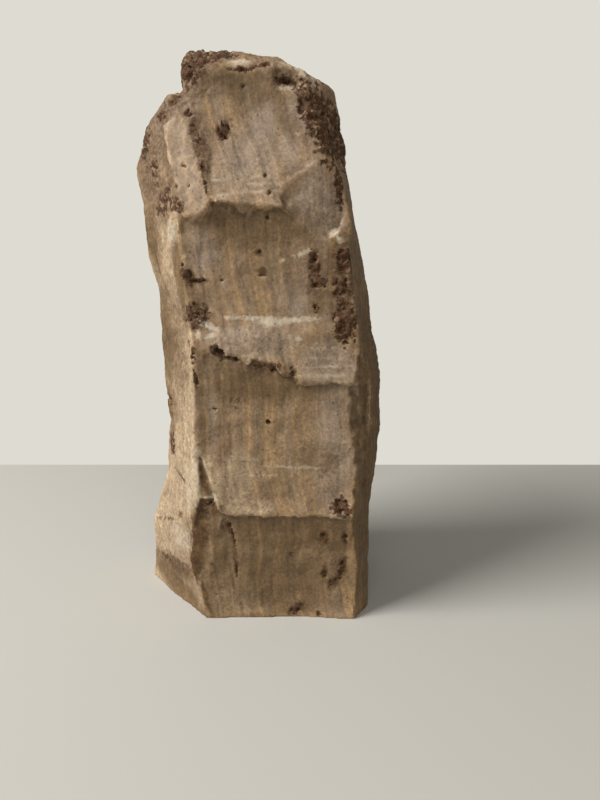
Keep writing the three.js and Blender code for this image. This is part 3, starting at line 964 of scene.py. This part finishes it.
def bare_stone(tree, place, wide_bands, fine_bands, grain, aged):
    """The colour of the banded stone: patches of other tones, of paler stone with painted light, and of
    painted shade, with streaks, clouds and grain in them all; worn ridges are lighter and hollows take
    painted shade.
    """
    colour = blend(tree, step(tree, wide_bands, low=0.36, high=0.62), GREY_TAN, OCHRE)
    # Paler stone, and painted light on the left face and the lower ends of the panels.
    pale = patchy(tree, "pale", place, size=8.0, breaking=0.8, soft=0.4, seed=11.0)
    colour = blend(tree, pale, colour, PALE)
    blush = patchy(tree, "blush", place, size=7.0, breaking=1.4, soft=0.4, seed=12.0)
    colour = blend(tree, blush, colour, BLUSH)
    # Painted shade, partly the stone's darker tone; none on the fresh faces.
    shade = patchy(tree, "shade", place, size=8.0, breaking=0.9, soft=0.55, seed=13.0)
    colour = blend(tree, times(tree, shade, aged), colour, SHADE)
    colour = coat(tree, colour, FRESH_TAN, painted(tree, "fresh"), strength=0.6)

    # Over the paler stone and the painted light, the streaks are fainter and the flecks stronger.
    pale_and_lit_amount = painted(tree, "pale")
    streaks = rescale(tree, pale_and_lit_amount, gain=-0.25, base=0.85)
    tone = rescale(tree, maths(tree, "SUBTRACT", fine_bands, 0.5), gain=streaks, base=1.0)
    flecks = noise(tree, place, size=2.0, detail=4.0, roughness=0.7, seed=6.0)
    flecks = times(tree, maths(tree, "SUBTRACT", flecks, 0.5), pale_and_lit_amount)
    tone = times(tree, tone, rescale(tree, flecks, gain=1.9, base=1.0))
    clouds = noise(tree, place, size=11.0, detail=3.0, roughness=0.6, seed=3.0)
    tone = times(tree, tone, rescale(tree, clouds, gain=0.5, base=0.75))
    tone = times(tree, tone, rescale(tree, grain, gain=1.8, base=0.1))
    # Lighter on worn ridges, and painted shade in hollows.
    tone = times(tree, tone, rescale(tree, painted(tree, "ridge"), gain=0.6, base=0.7))
    return add(tree, "VectorMath", {0: colour, 3: tone}, operation="SCALE").outputs[0]


def stained(tree, place, colour, clods, aged):
    """A colour with rust, mottles, bruises, scratches and specks laid over it; the bruise colour also paints
    light along the left ridge.
    """
    rust = patchy(tree, "rust", place, size=2.4, breaking=2.6, soft=0.4, seed=21.0)
    rustiness = noise(tree, place, size=3.6, detail=4.0, roughness=0.7, seed=25.0)
    rusty = blend(tree, step(tree, rustiness, low=0.44, high=0.68), RUST_DARK, RUST)
    colour = coat(tree, colour, rusty, rust, strength=0.9)
    mottle = patchy(tree, "mottle", place, size=1.9, breaking=3.2, soft=0.55, seed=23.0)
    mottled = blend(tree, step(tree, clods, low=0.44, high=0.58), CRUST_BROWN, STAINED_TAN)
    colour = coat(tree, colour, mottled, times(tree, mottle, aged), strength=0.62)
    # Blow marks, and painted light along the left ridge.
    bruise = patchy(tree, "bruise", place, size=1.4, breaking=2.6, soft=0.7, seed=22.0)
    colour = coat(tree, colour, BRUISE, bruise, strength=0.7)
    scratch = patchy(tree, "scratch", place, size=3.0, breaking=0.8, soft=0.4, seed=24.0)
    colour = coat(tree, colour, BRUISE, scratch, strength=0.3)
    specks = dots(tree, place, size=2.6, radius=0.40, share=0.36, seed=7.0)
    return coat(tree, colour, SPECK, specks, strength=0.55)


def make_soapstone():
    material = bpy.data.materials.new("soapstone")
    material.use_nodes = True
    tree = material.node_tree
    shader = tree.nodes["Principled BSDF"]
    metres = add(tree, "TexCoord").outputs["Object"]
    place = add(tree, "VectorMath", {0: metres, 3: 1.0 / MM}, operation="SCALE").outputs[0]

    # Bands, bent by slower noise.
    across = add(tree, "VectorMath", {0: place, 1: BAND_WAY}, operation="DOT_PRODUCT").outputs[1]
    across = rescale(tree, noise(tree, place, size=30.0, detail=1.0), gain=6.0, base=across)
    across = rescale(tree, noise(tree, place, size=7.0, detail=2.0), gain=0.9, base=across)
    wide_bands = bands(tree, across, size=5.0, detail=1.0)
    fine_bands = bands(tree, across, size=1.25, detail=3.0)

    # Colours: the stone with its painted light and shade, what stains it, and the weathered skin and its
    # holes.
    grain = noise(tree, place, size=0.9, detail=3.0, roughness=0.75, seed=5.0)
    clods = noise(tree, place, size=1.5, detail=4.0, roughness=0.75, seed=42.0)
    aged = maths(tree, "SUBTRACT", 1.0, painted(tree, "fresh"))
    colour = bare_stone(tree, place, wide_bands, fine_bands, grain, aged)
    colour = stained(tree, place, colour, clods, aged)
    skin = blend(tree, step(tree, clods, low=0.39, high=0.53), CRUST_DARK, CRUST_BROWN)
    skin = blend(tree, step(tree, clods, low=0.56, high=0.68), skin, CRUST_LIGHT)
    crust = patchy(tree, "crust_patches", place, size=1.2, breaking=2.0, soft=0.4, seed=41.0)
    colour = coat(tree, colour, skin, crust, strength=0.92)
    holes = patchy(tree, "pits", place, size=1.0, breaking=2.0, soft=0.4, seed=43.0)
    colour = coat(tree, colour, CRUST_DARK, holes, strength=0.6)
    tree.links.new(colour, shader.inputs["Base Color"])

    # Sheen of the split faces, matt skin.
    matt = rescale(tree, grain, gain=0.35, base=0.48)
    matt = rescale(tree, crust, gain=0.25, base=matt, clamp=True)
    tree.links.new(matt, shader.inputs["Roughness"])
    shader.inputs["Specular IOR Level"].default_value = SPECULAR

    # Fine relief: grain, bands and the crumbs of the skin.
    height = times(tree, grain, 0.6)
    height = rescale(tree, fine_bands, gain=0.3, base=height)
    height = rescale(tree, times(tree, crust, clods), gain=1.6, base=height)
    relief = {"Strength": BUMP_STRENGTH, "Distance": BUMP_DEPTH * MM, "Height": height}
    tree.links.new(add(tree, "Bump", relief).outputs[0], shader.inputs["Normal"])
    return material


make_camera()
make_floor()
make_world()
make_light("key", place=(-1.0, -0.45, 1.0), size=0.7, power=27.0)
make_light("fill", place=(0.1, -1.2, 1.0), size=1.0, power=5.0)
make_stone()
